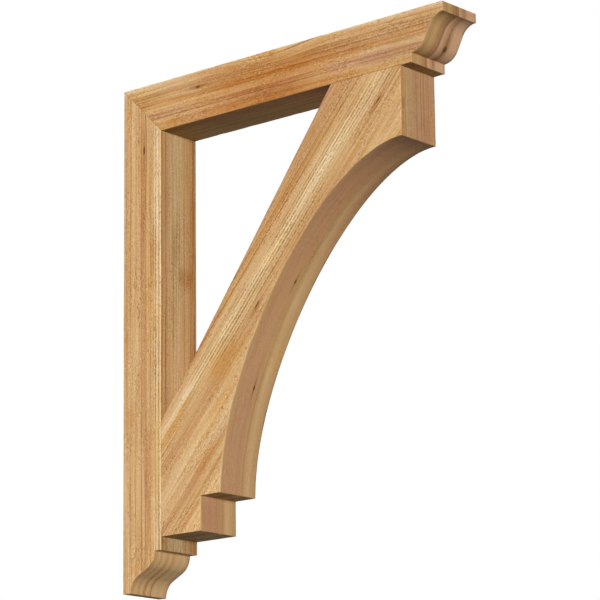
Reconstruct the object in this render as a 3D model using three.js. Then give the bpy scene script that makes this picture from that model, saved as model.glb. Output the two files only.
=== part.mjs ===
// A wooden corbel bracket: a back board for the wall, a top board that carries the load,
// and a curved brace between them. All three are sawn from the same square timber and lie
// flush on both sides.
//
// Millimetres, +Z up. The wall is the plane y = 0 and the bracket reaches out towards -Y.
// The origin is the middle of the back board's wall face.

import * as THREE from 'three';

// The whole bracket
const STOCK = 88.9; // side of the square timber, and so the bracket's width
const REACH = 711.2; // from the wall to the tip of the top board
const HEIGHT = 889; // from the tip of the foot to the top face
const GLUE_LINE = 0.3; // gap between two pieces where they meet

// The ogee that ends the foot of the back board and the nose of the top board
const OGEE_LENGTH = 66.7; // along the board, from the tip to the square step
const OGEE_LIP = 16.4; // thickness of the board at the tip
const OGEE_RISE = 55.9; // across the board, from the lip to the step
const OGEE_RADIUS = 31.2; // of the cove by the tip, and of the bulge by the step
const OGEE_SEGMENTS = 16; // in each of the two arcs

// The brace
const EDGE_SLOPE = 4 / 3; // rise over run of its straight upper edge
const EDGE_REACH = 475; // from the wall to where that edge meets the top board
const FRONT_SETBACK = STOCK; // from the nose's tip back to the brace's front face
const FRONT_HEIGHT = STOCK * 4 / 3; // of the front face, under the top board
const BLOCK_RAISE = STOCK; // from the foot's tip up to the underside of the brace
const BLOCK_HEIGHT = STOCK * 2 / 3; // of the square block under the curve
const BLOCK_DEPTH = STOCK; // out from the back board
const STEP_DEPTH = STOCK / 2; // from the block out to the foot of the curve
const CURVE_PLUMB = 0.4; // share of the curve's rise that pulls its foot upright
const CURVE_LEVEL = 0.43; // share of the curve's run that pulls its head level
const CURVE_SEGMENTS = 64;

// Outlines are drawn on the bracket's side: x is the distance out from the wall and
// y is the height above the tip of the foot.

// Points of the ogee, from the lip to the step, as (along the board from its tip,
// across it from its plain face). A cove leaves the lip level, a straight line runs at
// the angle that touches both circles, and a bulge of the same radius ends level.
function ogeePoints() {
  const offset = OGEE_RISE - 2 * OGEE_RADIUS;
  const centres = Math.hypot(OGEE_LENGTH, offset);
  const turn = Math.atan2(offset, OGEE_LENGTH) + Math.asin(2 * OGEE_RADIUS / centres);
  const points = [];
  for (let i = 0; i <= OGEE_SEGMENTS; i += 1) {
    const angle = turn * i / OGEE_SEGMENTS;
    const along = OGEE_RADIUS * Math.sin(angle);
    const across = OGEE_LIP + OGEE_RADIUS * (1 - Math.cos(angle));
    points.push([along, across]);
  }
  const bulge = points.map(([along, across]) => [
    OGEE_LENGTH - along,
    2 * OGEE_LIP + OGEE_RISE - across,
  ]);
  return [...points, ...bulge.reverse()];
}

// The upright board: wall face, ogee foot, front face and a mitre at the top.
function backBoardOutline() {
  const outline = new THREE.Shape();
  outline.moveTo(0, HEIGHT);
  outline.lineTo(0, 0);
  for (const [along, across] of ogeePoints()) {
    outline.lineTo(across, along);
  }
  outline.lineTo(STOCK, OGEE_LENGTH);
  outline.lineTo(STOCK, HEIGHT - STOCK);
  outline.closePath();
  return outline;
}

// The level board: mitre at the wall end, underside, ogee nose and top face.
function topBoardOutline() {
  const underside = HEIGHT - STOCK;
  const outline = new THREE.Shape();
  outline.moveTo(GLUE_LINE, HEIGHT);
  outline.lineTo(STOCK + GLUE_LINE, underside);
  outline.lineTo(REACH - OGEE_LENGTH, underside);
  for (const [along, across] of ogeePoints().reverse()) {
    outline.lineTo(REACH - along, HEIGHT - across);
  }
  outline.lineTo(REACH, HEIGHT);
  outline.closePath();
  return outline;
}

// The brace: a square block at its foot, a step, the long curve, a plumb front face and
// a straight upper edge between the two boards.
function braceOutline() {
  const back = STOCK + GLUE_LINE;
  const top = HEIGHT - STOCK - GLUE_LINE;
  const front = REACH - FRONT_SETBACK;
  const frontFoot = HEIGHT - STOCK - FRONT_HEIGHT;
  const block = STOCK + BLOCK_DEPTH;
  const curveFoot = BLOCK_RAISE + BLOCK_HEIGHT;
  const curveBack = block + STEP_DEPTH;
  const rise = frontFoot - curveFoot;
  const run = front - curveBack;
  const edgeFoot = top - (EDGE_REACH - back) * EDGE_SLOPE;

  const outline = new THREE.Shape();
  outline.moveTo(back, BLOCK_RAISE);
  outline.lineTo(block, BLOCK_RAISE);
  outline.lineTo(block, curveFoot);
  outline.lineTo(curveBack, curveFoot);
  outline.bezierCurveTo(
    curveBack, curveFoot + CURVE_PLUMB * rise,
    front - CURVE_LEVEL * run, frontFoot,
    front, frontFoot,
  );
  outline.lineTo(front, top);
  outline.lineTo(EDGE_REACH, top);
  outline.lineTo(back, edgeFoot);
  outline.closePath();
  return outline;
}

// One piece: its outline sawn through the full width of the timber.
function sawnPiece(name, outline, colour) {
  const geometry = new THREE.ExtrudeGeometry(outline, {
    depth: STOCK,
    bevelEnabled: false,
    curveSegments: CURVE_SEGMENTS,
  });
  const material = new THREE.MeshStandardMaterial({
    color: colour,
    roughness: 0.8,
    metalness: 0,
  });
  const piece = new THREE.Mesh(geometry, material);
  piece.name = name;
  return piece;
}

// Stands the outlines up: their x runs out from the wall, their y runs up, and the
// timber's width runs across.
const bracket = new THREE.Group();
bracket.name = 'corbel_bracket';
const outward = new THREE.Vector3(0, -1, 0);
const upward = new THREE.Vector3(0, 0, 1);
const sideways = new THREE.Vector3(-1, 0, 0);
const standing = new THREE.Matrix4().makeBasis(outward, upward, sideways);
bracket.quaternion.setFromRotationMatrix(standing);
bracket.position.set(STOCK / 2, 0, -HEIGHT / 2);

bracket.add(
  sawnPiece('back_board', backBoardOutline(), 0xc49258),
  sawnPiece('top_board', topBoardOutline(), 0xc08a50),
  sawnPiece('brace', braceOutline(), 0xbd854c),
);

export default bracket;
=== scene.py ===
# %% [markdown]
# # A wooden corbel bracket
#
# This bracket is three pieces of the same square timber: a back board against the wall,
# a top board that carries the load, and a curved brace between them. The construction is
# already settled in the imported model, so this script only gives it its surface: sawn
# faces with real relief, smooth cut faces, and the wood itself.
#
# All sizes are metres. The wall is the plane y = 0, the bracket reaches towards -Y, and
# the side that the camera sees is at -X.

# %% Load the frame
import math

import bpy
import numpy as np
from mathutils import Matrix, Vector


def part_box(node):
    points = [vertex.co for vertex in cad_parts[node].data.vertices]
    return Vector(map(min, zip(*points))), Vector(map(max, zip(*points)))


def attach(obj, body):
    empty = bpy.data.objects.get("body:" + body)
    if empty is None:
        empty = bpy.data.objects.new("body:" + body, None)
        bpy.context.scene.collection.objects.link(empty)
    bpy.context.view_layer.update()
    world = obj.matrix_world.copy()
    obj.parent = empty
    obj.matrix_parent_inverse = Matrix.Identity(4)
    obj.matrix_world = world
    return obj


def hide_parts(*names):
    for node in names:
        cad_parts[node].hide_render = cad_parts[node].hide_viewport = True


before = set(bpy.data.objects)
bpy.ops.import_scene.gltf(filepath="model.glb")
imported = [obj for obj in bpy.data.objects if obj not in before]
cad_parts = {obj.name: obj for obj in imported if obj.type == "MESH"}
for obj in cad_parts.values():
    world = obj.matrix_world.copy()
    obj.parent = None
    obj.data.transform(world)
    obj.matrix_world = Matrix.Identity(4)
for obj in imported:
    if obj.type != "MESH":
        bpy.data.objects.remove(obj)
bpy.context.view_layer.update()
print("pieces in the frame:", sorted(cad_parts))

# %% [markdown]
# ## Sizes
#
# The large sizes are read from the frame, so the looks can't drift from the construction.
# The frame doesn't name the smaller ones, such as the ogee's radius, so they are repeated
# here. Many are simple shares of the timber's side, as a joiner would set them out.

# %% Sizes
back_low, back_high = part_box("back_board")
top_low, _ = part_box("top_board")

STOCK = back_high.x - back_low.x  # side of the square timber, and so the bracket's width
HEIGHT = back_high.z - back_low.z  # from the tip of the foot to the top
REACH = -top_low.y  # from the wall to the tip of the nose
FOOT = back_low.z  # where the tip of the foot is in the frame

# The ogee that ends the foot and the nose
OGEE_LENGTH = 0.0667  # along the board, from the tip to the square step
OGEE_LIP = 0.0164  # thickness of the board at the tip
OGEE_RISE = 0.0559  # across the board, from the lip to the step
OGEE_RADIUS = 0.0312  # of the cove by the tip, and of the bulge by the step

# The brace, in distances out from the wall and heights above the foot
EDGE_SLOPE = 4 / 3  # rise over run of its straight upper edge
EDGE_REACH = 0.475  # where that edge meets the top board
BRACE_FRONT = REACH - STOCK
FRONT_FOOT = HEIGHT - STOCK - STOCK * 4 / 3
BLOCK_RAISE = STOCK
BLOCK_FRONT = 2 * STOCK
CURVE_FOOT = BLOCK_RAISE + STOCK * 2 / 3
CURVE_BACK = BLOCK_FRONT + STOCK / 2
CURVE_PLUMB = 0.4  # share of the curve's rise that pulls its foot upright
CURVE_LEVEL = 0.43  # share of the curve's run that pulls its head level
print(f"timber {STOCK * 1000:.1f} mm, reach {REACH * 1000:.1f} mm, height {HEIGHT * 1000:.1f} mm")

# %% [markdown]
# ## Outlines
#
# Every piece is an outline sawn through the timber, so its side is a flat sheet between
# two long edges. Each edge is a chain of points, (distance out from the wall, height above
# the foot). Both chains have as many points, and straight lines between matching points
# rule the whole side, which makes a tidy grid even where one edge is straight and the
# other is a curve.
#
# A subdivided box could be bent into these shapes too, but a ruled grid keeps the curves
# true and puts points exactly on the corners.

# %% Chains of points
STEP = 0.0028  # between the points of a straight run
EASE = 0.0004  # how far from a corner its easing starts


def straight(start, end):
    """Points start + t (end - start) for even t, and one more close to each end, where the
    corner is eased."""
    start = np.asarray(start, float)
    end = np.asarray(end, float)
    length = np.linalg.norm(end - start)
    count = max(3, int(length / STEP))
    inner = np.linspace(EASE, length - EASE, count)
    share = np.concatenate([[0], inner, [length]]) / length
    return start + (end - start) * share[:, None]


def joined(*runs):
    """The runs one after the other, with each shared corner kept once."""
    return np.concatenate([runs[0], *[run[1:] for run in runs[1:]]])


def run_length(points):
    """Distance along a chain of points, from its first."""
    return np.concatenate([[0], np.cumsum(np.linalg.norm(np.diff(points, axis=0), axis=1))])


def matching(corners, chain, level, side_share=0.3):
    """Points on the straight runs between corners, one for each point of chain. They move on
    as the chain does along the level axis, and side_share as fast as it moves across, so no
    two fall on each other."""
    moves = np.abs(np.diff(chain, axis=0))
    weight = moves[:, level] + side_share * moves[:, 1 - level]
    station = np.concatenate([[0], np.cumsum(weight)]) / weight.sum()
    corners = np.asarray(corners, float)
    at = run_length(corners)
    at = at / at[-1]
    nearest = [int(np.abs(station - a).argmin()) for a in at]
    station = np.interp(station, station[nearest], at)
    return np.stack([np.interp(station, at, corners[:, k]) for k in (0, 1)], 1)


# %% The two boards
SEAM = 0.00008  # width of a closed joint


def ogee(arc_points=26):
    """(along from the tip, across from the plain face): a cove, a line that touches both
    circles, and a bulge. The cove is R (sin a, 1 - cos a) from the lip, and the bulge is the
    same arc turned half round."""
    offset = OGEE_RISE - 2 * OGEE_RADIUS
    turn = math.atan2(offset, OGEE_LENGTH)
    turn += math.asin(2 * OGEE_RADIUS / math.hypot(OGEE_LENGTH, offset))
    angle = np.linspace(0, turn, arc_points)
    along = OGEE_RADIUS * np.sin(angle)
    across = OGEE_LIP + OGEE_RADIUS * (1 - np.cos(angle))
    cove = np.stack([along, across], 1)
    bulge = np.array([OGEE_LENGTH, 2 * OGEE_LIP + OGEE_RISE]) - cove
    return np.concatenate([cove, bulge[::-1]])


def board_chains(length):
    """The plain face and the shaped face of a board, as (along from its tip, across from its
    plain face). The shaped face is shorter by the mitre."""
    step_foot = (OGEE_LENGTH, OGEE_LIP + OGEE_RISE)
    step_top = (OGEE_LENGTH, STOCK)
    mitre = (length - STOCK, STOCK)
    shaped = joined(ogee(), straight(step_foot, step_top), straight(step_top, mitre))
    plain = matching([(0, 0), (length, 0)], shaped, level=0)
    return plain, shaped


back_chains = [chain[:, ::-1] for chain in board_chains(HEIGHT)]
top_chains = [[REACH, HEIGHT] - chain for chain in board_chains(REACH - SEAM)]
print("points along the boards' edges:", len(back_chains[0]), len(top_chains[0]))

# %% The brace


def brace_curve(points=250, samples=2000):
    """A cubic with its controls P0..P3: plumb at the foot, level at the head. It is sampled
    finely, and then read off at evenly spaced lengths."""
    foot = np.array([CURVE_BACK, CURVE_FOOT])
    head = np.array([BRACE_FRONT, FRONT_FOOT])
    run, rise = head - foot
    pull_up = foot + [0, CURVE_PLUMB * rise]
    pull_back = head - [CURVE_LEVEL * run, 0]
    t = np.linspace(0, 1, samples)[:, None]
    s = 1 - t
    curve = s**3 * foot + 3 * s * s * t * pull_up + 3 * s * t * t * pull_back + t**3 * head
    length = run_length(curve)
    even = np.linspace(0, length[-1], points)
    return np.stack([np.interp(even, length, curve[:, k]) for k in (0, 1)], 1)


brace_back = STOCK + SEAM
brace_top = HEIGHT - STOCK - SEAM
edge_foot = brace_top - (EDGE_REACH - brace_back) * EDGE_SLOPE
front_chain = joined(
    straight((BLOCK_FRONT, BLOCK_RAISE), (BLOCK_FRONT, CURVE_FOOT)),
    straight((BLOCK_FRONT, CURVE_FOOT), (CURVE_BACK, CURVE_FOOT)),
    brace_curve(),
    straight((BRACE_FRONT, FRONT_FOOT), (BRACE_FRONT, brace_top)),
)
edge_corners = [(brace_back, BLOCK_RAISE), (brace_back, edge_foot), (EDGE_REACH, brace_top)]
brace_chains = matching(edge_corners, front_chain, level=1), front_chain
print("points along the brace's edges:", len(front_chain))

# %% [markdown]
# ## Relief
#
# A saw leaves the side of the timber rough: the hard grain stands a little proud, fibres
# tear out in small pits, and the whole face is slightly fuzzy. A bump in the material
# could fake it, but real shape shows along the edges too, so it is put into the mesh. A
# smooth random field, stretched along the grain, gives all three.

# %% Random field
TABLE_SIZE = 256


def field(u, v, seed):
    """Random heights from -1 to 1 on the whole numbers of u and v, blended between them by
    3t^2 - 2t^3."""
    table = np.random.default_rng(seed).uniform(-1, 1, (TABLE_SIZE, TABLE_SIZE))
    u0 = np.floor(u).astype(int)
    v0 = np.floor(v).astype(int)
    fu = (u - u0) ** 2 * (3 - 2 * (u - u0))
    fv = (v - v0) ** 2 * (3 - 2 * (v - v0))

    def corner(i, j):
        return table[(u0 + i) % TABLE_SIZE, (v0 + j) % TABLE_SIZE]

    near = corner(0, 0) * (1 - fu) + corner(1, 0) * fu
    far = corner(0, 1) * (1 - fu) + corner(1, 1) * fu
    return near * (1 - fv) + far * fv


# %% Sawn and cut relief
# Each is a height in metres, and its cells a metre along and across the grain
RIDGES = 0.00020, 4, 130
FINE_RIDGES = 0.00012, 11, 260
FUZZ = 0.00007, 210, 390
SWELL = 0.00010, 6, 90
FINE_SWELL = 0.00004, 20, 240
TORN = 1.0, 24, 150  # the bare field
PIT_START = 0.62  # fibres tear out above this
PIT_DEPTH = 0.0007


def heights(kind, along, across, seed):
    """The height of one kind of relief times the field, stretched to its cells."""
    height, cells_along, cells_across = kind
    return height * field(along * cells_along, across * cells_across, seed)


def sawn_relief(along, across, seed):
    """Height of a sawn face: long grain ridges, finer ridges and fuzz, less the torn pits."""
    ridges = heights(RIDGES, along, across, seed)
    ridges += heights(FINE_RIDGES, along, across, seed + 1)
    fuzz = heights(FUZZ, along, across, seed + 2)
    torn = heights(TORN, along, across, seed + 3)
    pits = PIT_DEPTH * np.clip(torn - PIT_START, 0, None)
    return ridges + fuzz - pits


def cut_relief(along, across, seed):
    """Height of a cut and sanded face: only a soft swell that follows the grain."""
    swell = heights(SWELL, along, across, seed)
    return swell + heights(FINE_SWELL, along, across, seed + 1)


sample = sawn_relief(*np.meshgrid(np.linspace(0, STOCK, 99), np.linspace(0, STOCK, 99)), 1)
print(f"a sawn face stands {sample.min() * 1000:.2f} to {sample.max() * 1000:.2f} mm proud")

# %% [markdown]
# ## From outlines to closed pieces
#
# A piece is two ruled sides and a rim that runs round the outline. The rim is a grid too:
# the outline carried across the width. All the corners are eased by a hair, as on real
# timber, so that they catch the light, and the sawn edges have small chips. Bevels could
# ease the corners, but then the chips would have to be cut in by hand.
#
# Each face also gets a map named grain, in metres: the first number runs along the grain
# and the second across it. On the sides that is a turned plan of the face. On the rim it
# is the distance round the outline and the place across the width, so the figure of the
# wood follows the curve.

# %% Grids


def ring_of(rows, columns):
    """Indices of a grid's border, once round: first column, last row, last column, first row."""
    grid = np.arange(rows * columns).reshape(rows, columns)
    return np.concatenate([grid[:-1, 0], grid[-1, :-1], grid[:0:-1, -1], grid[0, :0:-1]])


def corners_of(grid):
    """What a grid holds at the four corners of each of its cells, in their order round it."""
    cells = np.stack([grid[:-1, :-1], grid[1:, :-1], grid[1:, 1:], grid[:-1, 1:]], 2)
    return cells.reshape(-1, 4, *grid.shape[2:])


def ruled(edges, columns):
    """Points a (1 - w) + b w between two chains, with one column close to each edge for its
    easing."""
    a, b = edges
    close = EASE / np.linalg.norm(b - a, axis=1)[:, None]
    share = close + (1 - 2 * close) * np.linspace(0, 1, columns - 2)
    share = np.concatenate([np.zeros_like(close), share, np.ones_like(close)], 1)[..., None]
    return a[:, None] * (1 - share) + b[:, None] * share


print("a ruled grid of the brace's side:", ruled(brace_chains, 5).shape)

# %% Eased and chipped edges
SHARP_TURN = math.radians(25)  # a corner that turns further than this is eased
CORNER_PULL = 0.25  # how far it moves towards each of its neighbours
EASE_DROP = 0.29 * EASE  # how far inside the sharp edge an eased one lies
# Chips and finer nicks: cells in a metre of edge, and shares of the depth
CHIP_CELLS, CHIP_SHARE = 70, 1.2
NICK_CELLS, NICK_SHARE = 210, 0.3
CHIP_START = 0.30  # the edge is chipped where the field is higher


def unit(vectors):
    """Each vector divided by its length."""
    return vectors / np.linalg.norm(vectors, axis=1)[:, None]


def eased_outline(outline):
    """The outline with its sharp corners moved towards their neighbours, the outward normals,
    and 1 or -1 for the way round that it runs."""
    before = outline - np.roll(outline, 1, 0)
    after = np.roll(outline, -1, 0) - outline
    sideways = before[:, 0] * after[:, 1] - before[:, 1] * after[:, 0]
    turn = np.arctan2(sideways, (before * after).sum(1))
    sharp = np.abs(turn) > SHARP_TURN
    eased = outline + CORNER_PULL * sharp[:, None] * (after - before)
    tangent = unit(unit(before) + unit(after))
    winding = np.sign(turn.sum())
    return eased, winding * np.stack([tangent[:, 1], -tangent[:, 0]], 1), winding


def arris_dents(length, depth, seed):
    """How deep a sawn edge is broken at each distance along it: mostly whole, with chips where
    the field is high, and finer nicks, up to about depth."""
    chips = np.clip(field(length * CHIP_CELLS, 0 * length, seed) - CHIP_START, 0, None)
    nicks = np.clip(field(length * NICK_CELLS, 0 * length, seed + 1), 0, None)
    return depth * (CHIP_SHARE * chips + NICK_SHARE * nicks)


def near_edge(distance, reach=0.003):
    """1 on an edge and 0 at reach from it, falling as (1 - d / reach) squared."""
    return np.clip(1 - distance / reach, 0, 1) ** 2


def side_depth(side, ring, dents, grain, seed):
    """How far a side stands from the middle of the timber: half the stock and the sawn relief,
    less the chips of its two long edges, and less a hair on the eased border."""
    width = np.linalg.norm(side - side[:, :1], axis=2)
    edge_dents = np.zeros(width.size)
    edge_dents[ring] = dents
    edge_dents = edge_dents.reshape(width.shape)
    broken = edge_dents[:, :1] * near_edge(width)
    broken += edge_dents[:, -1:] * near_edge(width[:, -1:] - width)
    depth = STOCK / 2 + sawn_relief(*grain.T, seed) - broken.ravel()
    depth[ring] -= EASE_DROP
    return depth


print(f"eased edges lie {EASE_DROP * 1000:.2f} mm inside the sharp ones")

# %% Into Blender


def make_object(name, points, quads, grain_map, finish):
    """Puts whole arrays into a mesh: points, four-cornered faces, the grain map, and which
    finish a face has. Its volume is a sixth of the sum of a . (b x c) over its triangles."""
    mesh = bpy.data.meshes.new(name)
    mesh.vertices.add(len(points))
    mesh.vertices.foreach_set("co", points.astype(np.float32).ravel())
    mesh.loops.add(quads.size)
    mesh.loops.foreach_set("vertex_index", quads.astype(np.int32).ravel())
    mesh.polygons.add(len(quads))
    mesh.polygons.foreach_set("loop_start", np.arange(0, quads.size, 4, dtype=np.int32))
    mesh.polygons.foreach_set("material_index", finish.astype(np.int32))
    mesh.polygons.foreach_set("use_smooth", np.ones(len(quads), bool))
    layer = mesh.uv_layers.new(name="grain")
    layer.uv.foreach_set("vector", grain_map.astype(np.float32).ravel())
    mesh.update(calc_edges=True)
    mesh.validate()
    made = bpy.data.objects.new(name, mesh)
    bpy.context.scene.collection.objects.link(made)
    corners = points[quads]
    cones = [corners[:, 0] * np.cross(corners[:, k], corners[:, k + 1]) for k in (1, 2)]
    volume = np.sum(cones) / 6
    print(f"{name}: {2 * len(quads)} triangles, {volume * 1e6:.0f} cubic cm")
    return made


# %% A closed piece
WIDTH_STEPS = 30  # points across the rim
FAR_SIDE_SHIFT = 3.0  # along the grain, so that the far side has other wood
# What is added to a piece's seed for its far side, its rim and its chipped edges
FAR_SEED = 20
RIM_SEED = 40
CHIP_SEED = 60


def faces_of(rows, columns, ring):
    """Faces of the near side, of the far side, which is turned round, and of the rim, whose
    strips start on the border of the one and end on the border of the other."""
    count, border = rows * columns, len(ring)
    near = corners_of(np.arange(count).reshape(rows, columns))
    inner = 2 * count + np.arange(WIDTH_STEPS * border).reshape(-1, border)
    strips = np.concatenate([ring[None], inner, count + ring[None]])
    rim = corners_of(np.concatenate([strips, strips[:, :1]], 1))
    return near, near[:, ::-1] + count, rim


def sawn_piece(name, edges, grain_of, rim_finish, columns, seed, chip_depth):
    """A closed mesh from two chains: near side, far side, and the rim between them. rim_finish
    gives the number of a rim face's finish from its middle, as (out, up). The sides have
    finish 0. The chains end at a joint, so the last row isn't chipped."""
    side = ruled(edges, columns)
    rows = len(side)
    ring = ring_of(rows, columns)
    plan = side.reshape(-1, 2)  # a view, so easing it eases side too
    outline, normal, winding = eased_outline(plan[ring])
    plan[ring] = outline
    grain = np.stack(grain_of(*plan.T), 1)

    half = STOCK / 2
    across = np.linspace(-half + EASE, half - EASE, WIDTH_STEPS)
    round_run = run_length(np.concatenate([outline, outline[:1]]))
    lift = cut_relief(round_run[:-1], across[:, None], seed + RIM_SEED)
    unglued = ring < (rows - 1) * columns
    plans, depths = [], []
    for k, x_edge in enumerate((-half, half)):
        dents = arris_dents(round_run[:-1], chip_depth, seed + CHIP_SEED + k) * unglued
        lift -= dents * near_edge(np.abs(across - x_edge))[:, None]
        depths.append(side_depth(side, ring, dents, grain, seed + FAR_SEED * k))
        plans.append(plan.copy())
        plans[k][ring] -= (EASE_DROP + dents)[:, None] * normal
    rim = outline + lift[..., None] * normal

    flat = np.concatenate([*plans, rim.reshape(-1, 2)])
    sideways = np.concatenate([-depths[0], depths[1], np.repeat(across, len(ring))])
    points = np.stack([sideways, -flat[:, 0], FOOT + flat[:, 1]], 1)

    near, far, band = faces_of(rows, columns, ring)
    quads = np.concatenate([near, far, band])
    rim_across = np.concatenate([[-half], across, [half]]) + half
    rim_grain = corners_of(np.stack(np.meshgrid(round_run, rim_across), -1))
    far_grain = grain[near[:, ::-1]] + [FAR_SIDE_SHIFT, 0]
    grain_map = np.concatenate([grain[near], far_grain, rim_grain])
    if winding < 0:
        quads = quads[:, ::-1]
        grain_map = grain_map[:, ::-1]
    finish = np.concatenate([np.zeros(2 * len(near), int), rim_finish(*flat[band].mean(1).T)])
    return make_object(name, points, quads, grain_map, finish), (outline, round_run)


# %% [markdown]
# ## The three pieces
#
# The grain runs up the back board and along the top board. In the brace it runs nearly
# along the upper edge, but not quite: timber is seldom sawn dead straight to its grain.
# One map for all three would be simpler, but each piece was sawn along its own grain.

# %% Grain and finishes
BRACE_GRAIN = math.radians(48)


def upright_grain(out, up):
    """Up the board, and across it from the wall."""
    return up, out


def level_grain(out, up):
    """Out from the wall, and down from the top."""
    return out, HEIGHT - up


def slanting_grain(out, up):
    """Turned by the grain's angle about the foot of the upper edge."""
    right, above = out - STOCK, up - edge_foot
    along = right * math.cos(BRACE_GRAIN) + above * math.sin(BRACE_GRAIN)
    return along, right * math.sin(BRACE_GRAIN) - above * math.cos(BRACE_GRAIN)


def back_finish(out, up):
    """1 for the long faces, 2 for the moulded foot."""
    return np.where((up < OGEE_LENGTH + EASE) & (out > EASE), 2, 1)


def top_finish(out, up):
    """1 for the top, 2 for the moulded nose, 3 for the underside."""
    under = up < HEIGHT - STOCK + EASE
    nose = (out > REACH - OGEE_LENGTH - EASE) & (up < HEIGHT - EASE)
    return np.where(under, 3, np.where(nose, 2, 1))


def brace_finish(out, up):
    """1 for the curve and the block, 2 for the plumb front face, 3 for the end grain under the
    block and the step."""
    block_under = np.abs(up - BLOCK_RAISE) < EASE
    step_under = (np.abs(up - CURVE_FOOT) < EASE) & (out < CURVE_BACK - EASE)
    return np.where(out > BRACE_FRONT - EASE, 2, np.where(block_under | step_under, 3, 1))


# %% Make the pieces
back_board, back_rim = sawn_piece(
    "back_board_wood", back_chains, upright_grain, back_finish,
    columns=56, seed=1, chip_depth=0.0005,
)
top_board, top_rim = sawn_piece(
    "top_board_wood", top_chains, level_grain, top_finish,
    columns=56, seed=101, chip_depth=0.0006,
)
brace, brace_rim = sawn_piece(
    "brace_wood", brace_chains, slanting_grain, brace_finish,
    columns=84, seed=201, chip_depth=0.0002,
)

for piece, node in ((back_board, "back_board"), (top_board, "top_board"), (brace, "brace")):
    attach(piece, "root")
    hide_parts(node)

# %% [markdown]
# ## Working with nodes
#
# A wood material is many small sums. They could be wired by hand in the editor, but then
# a change means finding the right node among a hundred. This helper adds a node, sets it,
# and wires whatever it is given, so that each material below reads as a recipe.

# %% Node helper


class Bench:
    """Adds nodes to one tree. A value may be a plain number or colour, or the output of another
    node."""

    def __init__(self, tree):
        self.tree = tree

    def node(self, kind, values=(), **settings):
        made = self.tree.nodes.new(kind)
        for key, value in settings.items():
            setattr(made, key, value)
        for key, value in dict(values).items():
            self.feed(made.inputs[key], value)
        return made

    def feed(self, socket, value):
        if isinstance(value, bpy.types.NodeSocket):
            self.tree.links.new(value, socket)
        else:
            socket.default_value = value

    def math(self, operation, *values):
        """One operation on its values, in their order."""
        made = self.node("ShaderNodeMath", operation=operation)
        for socket, value in zip(made.inputs, values):
            self.feed(socket, value)
        return made.outputs[0]

    def fade(self, value, start, end, low=0.0, high=1.0):
        """low at start, high at end, and a smooth step between them."""
        values = {"Value": value, "From Min": start, "From Max": end, "To Min": low, "To Max": high}
        return self.node("ShaderNodeMapRange", values, interpolation_type="SMOOTHSTEP").outputs[0]

    def stretched(self, given, along, across, detail=2.0, roughness=0.55, seed=None):
        """Noise inside a group, with so many cells a metre along and across the grain. Its seed
        is the group's Seed input, unless one is given."""
        place = self.node("ShaderNodeCombineXYZ", {
            "X": self.math("MULTIPLY", given["Along"], along),
            "Y": self.math("MULTIPLY", given["Across"], across),
            "Z": given["Seed"] if seed is None else seed,
        }).outputs[0]
        values = {"Vector": place, "Scale": 1.0, "Detail": detail, "Roughness": roughness}
        return self.node("ShaderNodeTexNoise", values).outputs[0]

    def mix(self, blend, amount, a, b):
        """Colour a with colour b blended over it, by the amount."""
        made = self.node("ShaderNodeMix", data_type="RGBA", blend_type=blend)
        for socket, value in ((made.inputs[0], amount), (made.inputs[6], a), (made.inputs[7], b)):
            self.feed(socket, value)
        return made.outputs[2]

    def group(self, tree, **values):
        """A shared group in this tree. An underscore in a name stands for the space in the
        socket's label."""
        made = self.node("ShaderNodeGroup", node_tree=tree)
        for key, value in values.items():
            self.feed(made.inputs[key.replace("_", " ")], value)
        return made.outputs

    def ramp(self, value, stops):
        """Colours along a value, as (place, colour) pairs. A ramp holds 32 at most."""
        made = self.node("ShaderNodeValToRGB", {"Fac": value})
        elements = made.color_ramp.elements
        made.color_ramp.interpolation = "EASE"
        while len(elements) < len(stops):
            elements.new(0.5)
        for element, (place, colour) in zip(elements, stops):
            element.position = place
            element.color = colour
        return made.outputs[0]


def node_group(name, inputs, outputs):
    """An empty group with float sockets, and the two nodes that its inside starts and ends at."""
    tree = bpy.data.node_groups.new(name, "ShaderNodeTree")
    for label in inputs:
        tree.interface.new_socket(label, in_out="INPUT", socket_type="NodeSocketFloat")
    for label in outputs:
        tree.interface.new_socket(label, in_out="OUTPUT", socket_type="NodeSocketFloat")
    bench = Bench(tree)
    start = bench.node("NodeGroupInput")
    end = bench.node("NodeGroupOutput")
    return bench, start.outputs, end.inputs


def wired(bench):
    """The group's tree, once its inside is done."""
    print(f"group {bench.tree.name}: {len(bench.tree.nodes)} nodes")
    return bench.tree


# %% [markdown]
# ## What wood is made of
#
# Six effects make up the figure of this timber, and each is a node group that the wood
# materials share. Grain path lets the grain wander. Line breaks tear gaps in the dark line
# at the end of each year's growth. Saw fuzz is the scatter of specks on a rough face.
# Mottle says where the wood is warmer, smoother or more golden. A stain is one soft patch
# of a given size and place, and the same patch also paints shade under the brace's block
# and the foot's lip. A knot is a dark heart that pushes the grain aside.
#
# A wood picture could be laid on instead, but it would look the same on every board, and
# its lines wouldn't bend round the knots.

# %% Grain path
PLACE = ["Along", "Across", "Seed"]

bench, given, result = node_group("grain_path", [*PLACE, "Wander"], ["Across"])
slow = bench.stretched(given, 1.8, 4)
quick = bench.stretched(given, 14, 30)
both = bench.math("ADD", slow, bench.math("MULTIPLY", quick, 0.16))
sway = bench.math("MULTIPLY", bench.math("SUBTRACT", both, 0.58), given["Wander"])
bench.feed(result["Across"], bench.math("ADD", given["Across"], sway))
grain_path = wired(bench)

# %% Line breaks
bench, given, result = node_group("line_breaks", PLACE, ["Kept"])
dots = bench.fade(bench.stretched(given, 240, 330, detail=1.0), 0.34, 0.54, 0.4, 1.05)
runs = bench.fade(bench.stretched(given, 6, 26), 0.34, 0.58, 0.35, 1.1)
bench.feed(result["Kept"], bench.math("MULTIPLY", dots, runs))
line_breaks = wired(bench)

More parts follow.
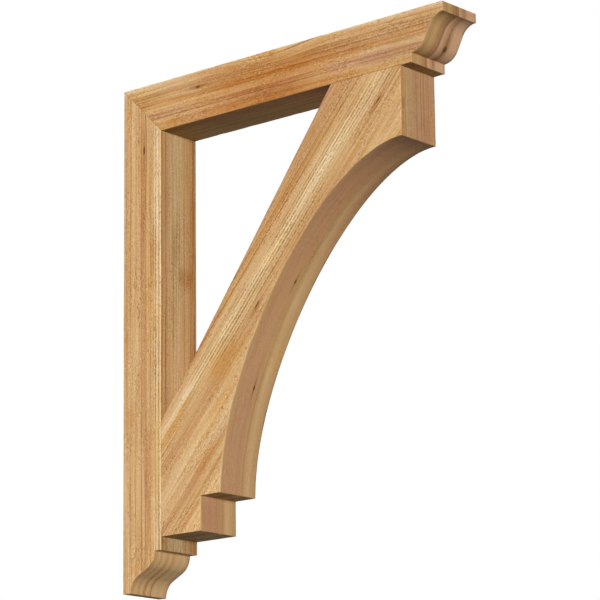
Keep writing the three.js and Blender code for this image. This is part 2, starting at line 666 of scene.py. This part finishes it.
# %% Saw fuzz
bench, given, result = node_group("saw_fuzz", PLACE, ["Fuzz", "Fleck", "Streak"])
patch = bench.stretched(given, 13, 34)
fuzz = bench.math("SUBTRACT", bench.stretched(given, 300, 520, detail=1.0), 0.5)
fuzzy = bench.fade(patch, 0.30, 0.66, 0.5, 1.3)
bench.feed(result["Fuzz"], bench.math("MULTIPLY", fuzz, fuzzy))
fleck = bench.fade(bench.stretched(given, 140, 420, detail=1.0), 0.585, 0.665)
flecked = bench.fade(patch, 0.36, 0.60, 0.3, 1.0)
bench.feed(result["Fleck"], bench.math("MULTIPLY", fleck, flecked))
streak = bench.stretched(given, 5, 190, detail=3.0)
bench.feed(result["Streak"], bench.math("SUBTRACT", streak, 0.5))
saw_fuzz = wired(bench)

# %% Mottle
bench, given, result = node_group("mottle", PLACE, ["Warm", "Smooth", "Gold"])
broad = bench.stretched(given, 7, 52, detail=3.0)
bench.feed(result["Warm"], bench.fade(broad, 0.53, 0.72))
bench.feed(result["Smooth"], bench.fade(broad, 0.47, 0.29))
bench.feed(result["Gold"], bench.fade(bench.stretched(given, 4, 38), 0.50, 0.70))
mottle_group = wired(bench)

# %% Stain, also used for painted shade
SPOT = ["Along", "Across", "At Along", "At Across", "Half Length", "Half Width"]
STAIN_AND_SHADE_SEED = 4.0


def from_middle(bench, given):
    """How far a place is from the middle of a spot, in half lengths along and half widths
    across."""
    along = bench.math("SUBTRACT", given["Along"], given["At Along"])
    across = bench.math("SUBTRACT", given["Across"], given["At Across"])
    half_lengths = bench.math("DIVIDE", along, given["Half Length"])
    half_widths = bench.math("DIVIDE", across, given["Half Width"])
    return half_lengths, half_widths


def distance(bench, x, y):
    """Square root of x squared plus y squared."""
    squares = bench.math("MULTIPLY", x, x), bench.math("MULTIPLY", y, y)
    return bench.math("SQRT", bench.math("ADD", *squares))


bench, given, result = node_group("stain_and_shade", SPOT, ["Mask"])
p, q = from_middle(bench, given)
ragged = bench.math("SUBTRACT", bench.stretched(given, 22, 110, seed=STAIN_AND_SHADE_SEED), 0.5)
edge = bench.math("ADD", distance(bench, p, q), ragged)
bench.feed(result["Mask"], bench.fade(edge, 0.2, 1.0, 1.0, 0.0))
stain_and_shade_group = wired(bench)

# %% Knot
bench, given, result = node_group("knot", SPOT, ["Across", "Heart", "Streak"])
p, q = from_middle(bench, given)
bench.feed(result["Heart"], bench.fade(distance(bench, p, q), 0.45, 1.05, 1.0, 0.0))
drawn_out = distance(bench, bench.math("MULTIPLY", p, 0.2), q)
bench.feed(result["Streak"], bench.fade(drawn_out, 0.2, 1.3, 1.0, 0.0))
push = bench.fade(distance(bench, bench.math("MULTIPLY", p, 0.5), q), 0.4, 4.0, 0.6, 0.0)
aside = bench.math("MULTIPLY", bench.math("MULTIPLY", q, given["Half Width"]), push)
bench.feed(result["Across"], bench.math("SUBTRACT", given["Across"], aside))
knot_group = wired(bench)

# %% [markdown]
# ## The colours of the timber
#
# The wood runs from ivory to peat in bands that follow the grain. The tones are named,
# and written as they look in daylight on a screen. Base colours are linear, and a lit
# surface reflects a little more than its base colour under the studio light, so both are
# worked out here. A tint is different: it multiplies the wood under a stain, and a few
# tints also paint shade under the brace's block and the foot's lip.

# %% Tones
LIT_GAIN = 1.25


def tone(red, green, blue):
    """A linear base colour from screen values: the screen's curve undone, then divided by the
    light's gain."""
    screen = np.array([red, green, blue]) / 255
    curved = ((screen + 0.055) / 1.055) ** 2.4
    linear = np.where(screen <= 0.04045, screen / 12.92, curved) / LIT_GAIN
    return (*(float(c) for c in linear), 1.0)


TONES = {
    "ivory": tone(234, 202, 154),
    "cream": tone(224, 190, 141),
    "straw": tone(214, 174, 123),
    "flax": tone(222, 178, 124),
    "honey": tone(207, 163, 110),
    "gold": tone(212, 168, 99),
    "clay": tone(208, 157, 112),
    "tan": tone(197, 150, 99),
    "amber": tone(197, 142, 85),
    "mauve": tone(190, 139, 100),
    "rose": tone(203, 154, 111),
    "olive": tone(214, 177, 123),
    "blush": tone(226, 178, 136),
    "umber": tone(176, 128, 82),
    # Moss and peat colour only the undersides of the top board and the brace, and hold painted shade
    # there as well as the wood's own colour.
    "moss": tone(176, 143, 87),
    "peat": tone(156, 114, 60),
    "sepia": tone(140, 103, 56),
    "bark": tone(128, 80, 42),
    "heart": tone(106, 65, 29),
}
TINTS = {
    "warm": (0.97, 0.86, 0.68, 1),
    "rich": (0.93, 0.78, 0.56, 1),
    # This tint is a smudge on the sawn sides of the top board and the brace, and painted shade on
    # the strip of the back board under the brace's block.
    "smudge_and_shade": (0.86, 0.79, 0.68, 1),
    "burnt": (0.80, 0.67, 0.52, 1),
    "golden": (1.02, 0.98, 0.82, 1),
    "rosy": (0.97, 0.91, 0.93, 1),
    "pale": (1.04, 1.07, 1.15, 1),
    "bleached": (1.06, 1.12, 1.20, 1),
    "fair": (1.10, 1.09, 1.05, 1),
    "dusky": (0.90, 0.81, 0.77, 1),
    # This tint dulls the wood a little; on the strip of the back board under the brace's block it is
    # painted shade.
    "dim": (0.88, 0.87, 0.84, 1),
    # This tint is painted shade on the end grain under the brace's block.
    "shaded": (0.68, 0.66, 0.52, 1),
    # This tint darkens the underside of the foot's lip: end grain, and painted shade as well.
    "dark": (0.26, 0.21, 0.16, 1),
}
print(len(TONES), "tones and", len(TINTS), "tints")

# %% Places across the grain
LINE_HALF = 1.7  # half the width of a growth line, in millimetres
LINE_STRENGTHS = {"thin": 0.4, "plain": 0.7, "strong": 1.0, "firm": 1.25, "bold": 1.5}


def bands(width, low=0.0, **places):
    """Ramp stops from millimetres across the grain: each keyword is a tone, with the places
    where it lies."""
    lies = [(at, TONES[name]) for name, spots in places.items() for at in spots]
    return sorted(((at / 1000 - low) / width, colour) for at, colour in lies)


def growth(width, low=0.0, **places):
    """Ramp stops in the same way for growth lines: a line's strength in its middle, and 0
    beside it. Between lines that are close together there is only one 0."""
    lines = sorted((at, LINE_STRENGTHS[name]) for name, spots in places.items() for at in spots)
    levels = [(lines[0][0] - LINE_HALF, 0.0), *lines, (lines[-1][0] + LINE_HALF, 0.0)]
    for (at, _), (following, _) in zip(lines, lines[1:]):
        if following - at > 4 * LINE_HALF:
            levels += [(at + LINE_HALF, 0.0), (following - LINE_HALF, 0.0)]
        else:
            levels.append(((at + following) / 2, 0.0))
    return [((at / 1000 - low) / width, (level, level, level, 1.0)) for at, level in sorted(levels)]


print("a growth line 30 mm across:", [round(at, 3) for at, _ in growth(STOCK, plain=(30,))])

# %% [markdown]
# ## Wood materials
#
# Each piece has a sawn finish for its two sides, with strong bands, growth lines and fuzz,
# and cut finishes for its rim, which is smoother: fainter lines and less fuzz. All of them
# start from the grain map and use the same groups. In calm places the saw left the face
# smoother, so the lines and the specks fade there.
#
# Darker wood is also richer wood, so the fine figure isn't laid on as grey. It raises the
# banded colour to a power a little above or below one, which darkens and deepens it, or
# lightens and pales it, in one step.

# %% Colour and fine figure
# How strongly each patch of the mottle is mixed in, and its tone
PATCHES = {"Warm": (0.5, "amber"), "Smooth": (0.3, "rose"), "Gold": (0.4, "gold")}
# How much of the lines and specks is lost in smooth patches and in calm places
SMOOTH_LOSS = 0.6
CALM_LOSS = 0.75
# The power that the colour is raised to, and how far the figure moves it
PLAIN_POWER = 0.98
FUZZ_POWER = 0.8
STREAK_POWER = 0.9
LINE_POWER = 0.55


def spot_values(spot):
    """A spot's numbers as the inputs of its group: (along, across, half length, half width) in
    metres."""
    return dict(zip(("At_Along", "At_Across", "Half_Length", "Half_Width"), spot))


def spot_mask(bench, place, spot):
    """1 in the middle of a spot, and 0 outside it."""
    here = {"Along": place["Along"], "Across": place["Across"]}
    return bench.group(stain_and_shade_group, **here, **spot_values(spot))["Mask"]


def patched(bench, place, colour, mottle, stains_and_shade, rough):
    """The banded colour with the patches mixed in, and multiplied by the tints of the stains and of
    the painted shade.
    """
    for mask, (strength, patch_tone) in PATCHES.items():
        amount = bench.math("MULTIPLY", mottle[mask], strength * rough)
        colour = bench.mix("MIX", amount, colour, TONES[patch_tone])
    for *spot, tint in stains_and_shade:
        colour = bench.mix("MULTIPLY", spot_mask(bench, place, spot), colour, TINTS[tint])
    return colour


def fine_figure(bench, place, line, mottle, calm, rough):
    """How strong the growth lines and the specks are, and the power for the colour."""
    saw = bench.group(saw_fuzz, **place)
    left = bench.math("MULTIPLY_ADD", mottle["Smooth"], -SMOOTH_LOSS, 1.0)
    for spot in calm:
        left_here = bench.math("MULTIPLY_ADD", spot_mask(bench, place, spot), -CALM_LOSS, 1.0)
        left = bench.math("MULTIPLY", left, left_here)
    line = bench.math("MULTIPLY", bench.group(line_breaks, **place)["Kept"], line)
    line = bench.math("MULTIPLY", line, left)
    fleck = bench.math("MULTIPLY", bench.math("MULTIPLY", saw["Fleck"], left), rough)
    power = bench.math("MULTIPLY_ADD", saw["Fuzz"], -FUZZ_POWER * rough, PLAIN_POWER)
    power = bench.math("MULTIPLY_ADD", saw["Streak"], -STREAK_POWER * rough, power)
    power = bench.math("MULTIPLY_ADD", line, LINE_POWER, power)
    return line, fleck, power


# %% Wood recipe
# How far lines, specks and the two parts of a knot hide the wood under them
LINE_COVER = 0.45
FLECK_COVER = 0.5
STREAK_COVER = 0.45
HEART_COVER = 0.9
# The surface
BUMP_STRENGTH = 0.4
BUMP_DEPTH = 0.0005
HOLLOWS = 0.7, 1.5  # from the smoothest place to the roughest
SMOOTHEST, ROUGHEST = 0.70, 0.88
SPECULAR = 0.25


def wood(
    name, stops, lines, low=0.0, width=STOCK,
    knots=(), stains_and_shade=(), calm=(), rough=1.0, wander=0.004, seed=0.0,
):
    """A wood finish: banded colour, patches, stains and painted shade, fine figure as a power,
    growth lines, specks and knots. Each stain, and each patch of painted shade, is a spot with
    the name of its tint after it. rough is 1 on a sawn face and less on a cut one."""
    material = bpy.data.materials.new(name)
    material.use_nodes = True
    tree = material.node_tree
    tree.nodes.clear()
    bench = Bench(tree)
    grain = bench.node("ShaderNodeUVMap", uv_map="grain").outputs[0]
    along, across, _ = bench.node("ShaderNodeSeparateXYZ", {"Vector": grain}).outputs

    covers = []
    for spot in knots:
        knot = bench.group(knot_group, Along=along, Across=across, **spot_values(spot))
        covers += [(knot["Streak"], STREAK_COVER, "bark"), (knot["Heart"], HEART_COVER, "heart")]
        across = knot["Across"]
    path = bench.group(grain_path, Along=along, Across=across, Wander=wander, Seed=seed)["Across"]
    place = {"Along": along, "Across": path, "Seed": seed}
    share = bench.math("DIVIDE", bench.math("SUBTRACT", path, low), width)

    mottle = bench.group(mottle_group, **place)
    colour = patched(bench, place, bench.ramp(share, stops), mottle, stains_and_shade, rough)
    line, fleck, power = fine_figure(bench, place, bench.ramp(share, lines), mottle, calm, rough)
    colour = bench.node("ShaderNodeGamma", {"Color": colour, "Gamma": power}).outputs[0]
    covers = [(line, LINE_COVER, "sepia"), (fleck, FLECK_COVER, "bark"), *covers]
    for mask, cover, dark_tone in covers:
        colour = bench.mix("MIX", bench.math("MULTIPLY", mask, cover), colour, TONES[dark_tone])

    hollow = bench.math("ADD", power, bench.math("ADD", line, fleck))
    height = bench.math("MULTIPLY", hollow, -1)
    bump = {"Strength": BUMP_STRENGTH, "Distance": BUMP_DEPTH, "Height": height}
    surface = bench.node("ShaderNodeBsdfPrincipled", {
        "Base Color": colour,
        "Roughness": bench.fade(hollow, *HOLLOWS, SMOOTHEST, ROUGHEST),
        "Normal": bench.node("ShaderNodeBump", bump).outputs[0],
        "Specular IOR Level": SPECULAR,
    })
    bench.node("ShaderNodeOutputMaterial", {"Surface": surface.outputs[0]})
    print(f"{name}: {len(tree.nodes)} nodes")
    return material


def along_rim(rim, out, up):
    """Distance round the rim to the point of the outline that is nearest to (out, up)."""
    outline, length = rim
    return float(length[np.linalg.norm(outline - [out, up], axis=1).argmin()])


# %% [markdown]
# ## Finishes of the back board
#
# The sawn side is pale along its front edge, where the growth lines are close and even,
# and browner in the middle, with one small knot high up. The front face is sawn too, but
# finer, and its strip under the brace's block is darkened with painted shade. The ogee of
# the foot is sanded smooth, and the underside of its lip is end grain, darkened further
# with painted shade.
#
# Noise alone would give some other board, so the bands and lines are listed by their
# places across the grain, in millimetres, and the stains and the painted shade by their
# places on the face.

# %% Back board
MIDDLE = 0.044  # about halfway across the rim

back_sawn = wood(
    "back_board_sawn",
    bands(
        STOCK, straw=(1, 23, 27, 58), honey=(8, 13, 19, 33, 38, 62, 67), tan=(43, 48, 53),
        cream=(71,), ivory=(79, 87),
    ),
    growth(STOCK, thin=(5.5, 29, 42.5, 51), plain=(16, 70), strong=(64,), firm=(76, 83)),
    knots=[(0.772, 0.0487, 0.010, 0.0031)],
    stains_and_shade=[
        (0.70, 0.056, 0.09, 0.010, "golden"), (0.60, 0.043, 0.12, 0.010, "dusky"),
        (0.17, 0.059, 0.17, 0.012, "dusky"), (0.438, 0.007, 0.022, 0.007, "warm"),
        (0.303, 0.021, 0.030, 0.008, "warm"), (0.041, 0.022, 0.022, 0.009, "rich"),
        (0.52, 0.060, 0.14, 0.012, "golden"), (0.56, 0.076, 0.25, 0.014, "pale"),
        (0.845, 0.019, 0.022, 0.008, "warm"), (0.24, 0.079, 0.17, 0.018, "warm"),
        (0.14, 0.0395, 0.15, 0.012, "bleached"), (0.22, 0.008, 0.17, 0.014, "bleached"),
        (0.20, 0.080, 0.20, 0.016, "dim"), (0.14, 0.056, 0.11, 0.009, "dusky"),
    ],
    calm=[(0.16, 0.066, 0.20, 0.022), (0.40, 0.020, 0.12, 0.016)],
    seed=1.7,
)
back_cut = wood(
    "back_board_cut",
    bands(
        STOCK, amber=(1, 79), tan=(4, 12, 73), honey=(8, 20, 57, 65), olive=(27, 52),
        cream=(34, 44), straw=(88,), umber=(83,),
    ),
    growth(STOCK, thin=(59, 74, 80), plain=(11.5, 35, 39, 43.5, 47.5, 85), strong=(2.5, 31)),
    stains_and_shade=[
        (along_rim(back_rim, STOCK, 0.545), 0.060, 0.026, 0.028, "burnt"),
        (along_rim(back_rim, STOCK, 0.635), 0.072, 0.045, 0.011, "golden"),
        # The next two darken the strip of the front face under the brace's block: painted shade.
        (along_rim(back_rim, STOCK, 0.078), 0.004, 0.020, 0.014, "smudge_and_shade"),
        (along_rim(back_rim, STOCK, 0.078), 0.034, 0.024, 0.080, "dim"),
    ],
    rough=0.85, seed=5.1,
)
foot_cut = wood(
    "foot_cut",
    bands(STOCK, clay=(1, 86), honey=(8, 20, 34, 50), flax=(14, 28, 42, 58), olive=(66, 76)),
    growth(STOCK, plain=(33, 36.5), strong=(50,)),
    # The underside of the lip: end grain, darkened further by this tint as painted shade.
    stains_and_shade=[(along_rim(back_rim, OGEE_LIP / 2, 0), MIDDLE, 0.010, 0.12, "dark")],
    calm=[(along_rim(back_rim, STOCK - 0.010, OGEE_LENGTH - 0.010), MIDDLE, 0.035, 0.09)],
    rough=0.4, seed=35.6,
)

# %% [markdown]
# ## Finishes of the top board
#
# This board is redder, and browner in its middle. There the grain bends, as if a large
# knot had been sawn away just above the top edge: a bold growth line that lies outside the
# board elsewhere dips into view. It could be drawn as a curved line, but it is simpler to
# place a knot outside the board, and to start the bands a little above the edge.

# %% Top board
TOP_LOW = -0.004  # where the bands start, above the edge
TOP_WIDTH = STOCK - TOP_LOW

top_sawn = wood(
    "top_board_sawn",
    bands(
        TOP_WIDTH, TOP_LOW, cream=(1,), straw=(5,), honey=(9, 13, 49),
        tan=(18, 24, 32, 45, 75), amber=(38, 81, 86), rose=(54, 70), mauve=(60, 65),
    ),
    growth(
        TOP_WIDTH, TOP_LOW, thin=(10.5, 18.5, 23.5, 44, 58.5), plain=(29, 38, 66), bold=(-1.5,),
    ),
    low=TOP_LOW, width=TOP_WIDTH,
    knots=[(0.176, 0.0285, 0.006, 0.0036), (0.334, -0.016, 0.020, 0.014)],
    stains_and_shade=[
        (0.34, 0.050, 0.26, 0.10, "rich"), (0.345, 0.036, 0.13, 0.016, "warm"),
        (0.345, 0.077, 0.10, 0.016, "burnt"), (0.115, 0.079, 0.02, 0.009, "warm"),
        (0.28, 0.010, 0.03, 0.005, "pale"), (0.40, 0.009, 0.045, 0.006, "pale"),
        (0.62, 0.050, 0.14, 0.10, "pale"), (0.11, 0.030, 0.08, 0.06, "pale"),
        (0.61, 0.066, 0.10, 0.044, "dim"), (0.33, 0.011, 0.10, 0.013, "smudge_and_shade"),
        (0.334, -0.009, 0.07, 0.010, "rich"),
    ],
    calm=[(0.34, 0.053, 0.09, 0.012), (0.12, 0.040, 0.08, 0.030), (0.60, 0.044, 0.12, 0.024)],
    wander=0.009, seed=9.4,
)
top_cut = wood(
    "top_board_cut",
    bands(STOCK, straw=(4, 30, 60), honey=(16, 46, 76), tan=(38, 68, 86)),
    growth(STOCK, thin=(12, 24, 52, 80), plain=(38, 68)),
    rough=0.7, seed=31.9,
)
# The underside of the top board: darker tones than the rest of the board, the wood's own colour and
# painted shade of the underside.
top_under = wood(
    "top_board_under_shaded",
    bands(STOCK, peat=(6, 20), umber=(26,), moss=(38, 80)),
    growth(STOCK, thin=(30, 56), plain=(42,)),
    stains_and_shade=[(along_rim(top_rim, 0.14, HEIGHT - STOCK), MIDDLE, 0.07, 0.12, "bleached")],
    rough=0.5, seed=43.7,
)
nose_knot = along_rim(top_rim, REACH - 0.0418, HEIGHT - 0.0599)
nose_cut = wood(
    "nose_cut",
    bands(
        STOCK, honey=(2, 11, 22), gold=(17,), tan=(29,), umber=(39,),
        blush=(46, 66, 76, 84), rose=(54, 60),
    ),
    growth(STOCK, thin=(10, 30, 57.5), strong=(42,)),
    knots=[(nose_knot, 0.0575, 0.0082, 0.0060)],
    stains_and_shade=[(along_rim(top_rim, REACH, HEIGHT - 0.008), MIDDLE, 0.012, 0.09, "dim")],
    rough=0.3, seed=13.2,
)

# %% [markdown]
# ## Finishes of the brace
#
# The brace's side is wider than the boards', so it shows more years: a pale stretch with
# close lines runs up it, at a slight angle to the upper edge, with calmer wood below. The
# curve is smooth, with two pin knots, and the block and the step show dark end grain
# underneath, darkened further with painted shade. Places on the curve are counted back
# from its foot, as the rim runs down it.

# %% Brace
BRACE_LOW, BRACE_WIDTH = -0.062, 0.260  # across the slanting grain

brace_sawn = wood(
    "brace_sawn",
    bands(
        BRACE_WIDTH, BRACE_LOW, mauve=(-52,), tan=(-38, -27, -18, 60, 126, 134, 148),
        honey=(-6, 44, 52, 70, 140, 158), straw=(4, 80, 92, 100, 112), cream=(34,),
        ivory=(13, 24), flax=(166, 182),
    ),
    growth(
        BRACE_WIDTH, BRACE_LOW, thin=(46, 62, 78), plain=(-22, 5, 35, 52), strong=(-11, 40),
        firm=(11, 17, 23, 29),
    ),
    low=BRACE_LOW, width=BRACE_WIDTH,
    knots=[(0.2708, 0.0509, 0.010, 0.0020), (0.6711, 0.0493, 0.009, 0.0018)],
    stains_and_shade=[
        (0.155, 0.042, 0.055, 0.026, "warm"), (0.43, -0.018, 0.12, 0.012, "warm"),
        (0.00, 0.030, 0.10, 0.014, "rich"), (0.01, 0.125, 0.06, 0.014, "warm"),
        (-0.02, 0.086, 0.12, 0.015, "bleached"), (0.48, 0.018, 0.27, 0.016, "bleached"),
        (0.07, 0.010, 0.05, 0.010, "pale"), (0.268, 0.051, 0.028, 0.0060, "burnt"),
        (0.668, 0.049, 0.028, 0.0055, "burnt"), (0.02, 0.029, 0.15, 0.014, "smudge_and_shade"),
        (0.37, 0.021, 0.07, 0.010, "fair"), (0.11, 0.092, 0.06, 0.013, "warm"),
        (0.17, 0.062, 0.07, 0.028, "golden"),
    ],
    calm=[(0.05, 0.035, 0.16, 0.035), (0.01, 0.086, 0.16, 0.018)],
    wander=0.014, seed=17.8,
)
foot_at = along_rim(brace_rim, CURVE_BACK, CURVE_FOOT)
brace_cut = wood(
    "brace_cut",
    bands(STOCK, flax=(1, 66), honey=(5, 56, 84), clay=(11, 30, 46)),
    growth(STOCK, thin=(55,)),
    knots=[
        (foot_at - 0.182, 0.0432, 0.0055, 0.0026), (foot_at - 0.374, 0.0432, 0.0055, 0.0026),
    ],
    stains_and_shade=[
        (foot_at - 0.22, 0.066, 0.07, 0.010, "pale"), (foot_at - 0.34, 0.064, 0.06, 0.010, "pale"),
        (foot_at - 0.65, 0.060, 0.30, 0.12, "rosy"), (foot_at - 0.36, 0.040, 0.26, 0.12, "fair"),
        (foot_at - 0.56, 0.042, 0.12, 0.042, "fair"), (foot_at - 0.63, 0.078, 0.16, 0.030, "dim"),
        (foot_at - 0.56, 0.082, 0.20, 0.016, "rosy"), (foot_at - 0.24, 0.074, 0.05, 0.018, "golden"),
        (along_rim(brace_rim, BLOCK_FRONT, BLOCK_RAISE + 0.03), 0.030, 0.06, 0.05, "rosy"),
    ],
    rough=0.35, wander=0.012, seed=21.5,
)
brace_front = wood(
    "brace_front_cut",
    bands(STOCK, amber=(1,), honey=(8, 16, 26), rose=(34, 50, 64), clay=(76, 86)),
    growth(STOCK, thin=(12, 24, 40, 52, 60, 72)),
    stains_and_shade=[
        (along_rim(brace_rim, BRACE_FRONT, FRONT_FOOT + 0.055), 0.006, 0.016, 0.005, "burnt"),
        (along_rim(brace_rim, BRACE_FRONT, FRONT_FOOT + 0.022), 0.062, 0.035, 0.025, "rosy"),
    ],
    rough=0.5, seed=27.3,
)
# End grain under the block and the step. Its tones are darker than the rest of the brace, partly as
# painted shade, and the patch under the block is painted shade.
brace_end = wood(
    "brace_end_grain_and_shade",
    bands(STOCK, peat=(4, 34, 70), moss=(20, 52, 86)),
    growth(STOCK, plain=(30, 64)),
    stains_and_shade=[(along_rim(brace_rim, STOCK * 1.5, BLOCK_RAISE), MIDDLE, 0.07, 0.12, "shaded")],
    rough=0.8, seed=41.1,
)

# %% Finishes on the pieces
# In the order of the numbers that the pieces' faces have
finishes = {
    back_board: (back_sawn, back_cut, foot_cut),
    top_board: (top_sawn, top_cut, nose_cut, top_under),
    brace: (brace_sawn, brace_cut, brace_front, brace_end),
}
for piece, worn in finishes.items():
    for finish in worn:
        piece.data.materials.append(finish)
    print(piece.name, "has", [finish.name for finish in worn])

# %% [markdown]
# ## Stage
#
# The bracket hangs well above a plain pale floor, before plain white. A floor close under
# it would throw light up, and the undersides of the real bracket are dark, so the floor
# is far below and takes no part in the soft light.

# %% Stage
FLOOR_DROP = 3.4
FLOOR_SIZE = 70.0
FLOOR_COLOUR = (0.82, 0.82, 0.81, 1)
FLOOR_ROUGHNESS = 0.9

floor_mesh = bpy.data.meshes.new("floor")
ends = np.array([[-1, -1], [1, -1], [1, 1], [-1, 1]]) * FLOOR_SIZE / 2
floor_mesh.from_pydata([(x, y, -FLOOR_DROP) for x, y in ends], [], [(0, 1, 2, 3)])
floor = bpy.data.objects.new("floor", floor_mesh)
bpy.context.scene.collection.objects.link(floor)
floor.visible_diffuse = False
floor.visible_shadow = False
pale = bpy.data.materials.new("pale_floor")
pale.use_nodes = True
paint = pale.node_tree.nodes["Principled BSDF"]
paint.inputs["Base Color"].default_value = FLOOR_COLOUR
paint.inputs["Roughness"].default_value = FLOOR_ROUGHNESS
floor_mesh.materials.append(pale)
print(f"floor {FLOOR_DROP} m down, {FLOOR_SIZE} m wide")

# %% [markdown]
# ## Light
#
# Three wide suns act as far softboxes. The key comes level from the front left, and lights
# the sawn side and, more weakly, the front. One from above lights the top. A fill from
# behind reaches the far side and the back. Area lamps would do too, but a sun lights the
# whole bracket alike. The world is white to the camera, and only faint as a light.

# %% Light
AMBIENT = 0.07


def sun(name, towards, strength, angle):
    """A sun that shines from the direction towards, as wide as angle in degrees."""
    light = bpy.data.lights.new(name, "SUN")
    light.energy = strength
    light.angle = math.radians(angle)
    lamp = bpy.data.objects.new(name, light)
    lamp.rotation_euler = Vector(towards).to_track_quat("Z", "Y").to_euler()
    bpy.context.scene.collection.objects.link(lamp)
    print(f"{name}: strength {strength}, {angle} degrees wide")


sun("key", (-0.83, -0.56, 0.0), strength=4.3, angle=9)
sun("top", (0.0, 0.1, 1.0), strength=2.2, angle=25)
sun("fill", (0.8, 0.45, 0.45), strength=3.0, angle=50)

world = bpy.data.worlds.new("studio")
bpy.context.scene.world = world
world.use_nodes = True
bench = Bench(world.node_tree)
soft = world.node_tree.nodes["Background"]
soft.inputs["Color"].default_value = (1, 1, 1, 1)
soft.inputs["Strength"].default_value = AMBIENT
white = bench.node("ShaderNodeBackground", {"Color": (1, 1, 1, 1), "Strength": 1.0})
seen = bench.node("ShaderNodeLightPath").outputs["Is Camera Ray"]
both = bench.node("ShaderNodeMixShader", {0: seen, 1: soft.outputs[0], 2: white.outputs[0]})
bench.feed(world.node_tree.nodes["World Output"].inputs["Surface"], both.outputs[0])
bpy.context.scene.view_settings.view_transform = "Standard"

# %% [markdown]
# ## Camera
#
# The bracket is seen from below and from its left, through a long lens that keeps the
# edges nearly parallel. The place and the turns were fitted to its straight edges. A
# shorter lens closer by would fill the frame too, but would splay the boards.

# %% Camera
CAMERA_PLACE = (-3.5786, -3.4379, -1.1322)
CAMERA_TURN = -49.339  # degrees, as are the next two
CAMERA_TILT = 13.664
CAMERA_ROLL = 0.688
SENSOR_MM = 36
LENS_MM = 175.54


def turned(degrees, axis):
    """A turn about one axis."""
    return Matrix.Rotation(math.radians(degrees), 4, axis)


lens = bpy.data.cameras.new("camera")
lens.sensor_width = SENSOR_MM
lens.lens = LENS_MM
camera = bpy.data.objects.new("camera", lens)
aim = turned(CAMERA_TURN, "Z") @ turned(CAMERA_TILT, "X") @ turned(CAMERA_ROLL, "Y")
level_view = turned(90, "X")
camera.matrix_world = Matrix.Translation(CAMERA_PLACE) @ (aim @ level_view)
bpy.context.scene.collection.objects.link(camera)
bpy.context.scene.camera = camera
print(f"camera {Vector(CAMERA_PLACE).length:.2f} m from the wall face's middle")
